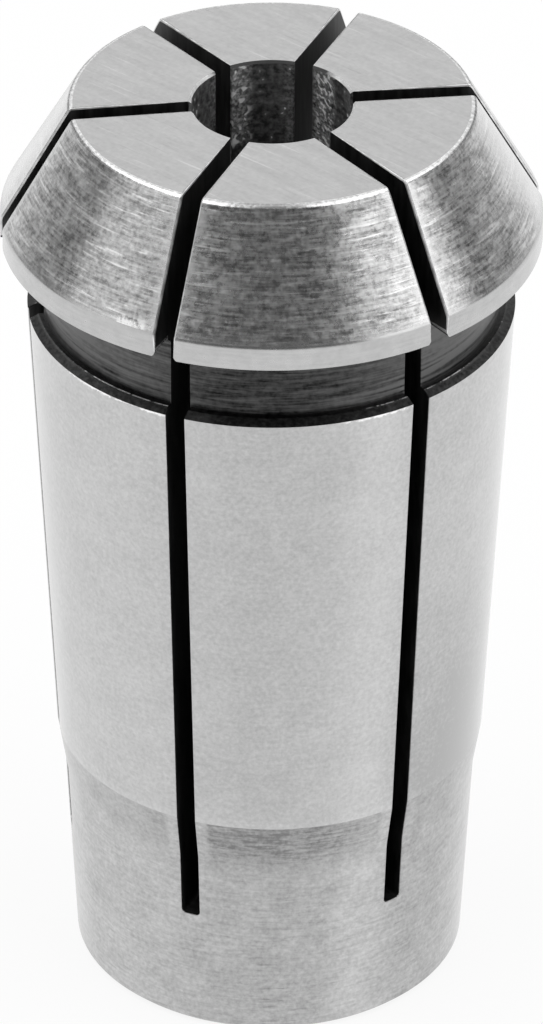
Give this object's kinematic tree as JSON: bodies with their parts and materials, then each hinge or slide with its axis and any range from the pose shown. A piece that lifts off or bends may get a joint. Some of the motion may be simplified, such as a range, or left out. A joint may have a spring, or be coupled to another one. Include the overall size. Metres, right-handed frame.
{
  "type": "router collet",
  "caption": "Slotted steel collet with a tapered body, snap groove and conical nose, which grips a router cutter's round shank when its nut is tightened.",
  "frame": {"origin": "centre of the flat tail face that the collet stands on", "axes": "+Z along the bore's axis, from the tail up to the nose; one slot lies on -Y and the others every 60 degrees round from it"},
  "size_m": [0.0216, 0.0214, 0.0393],
  "materials": {
    "ground_steel": "ground satin steel, left dark from hardening in the groove, bore and slots"
  },
  "bodies": {
    "root": {"collet": "ground_steel"}
  },
  "joints": []
}
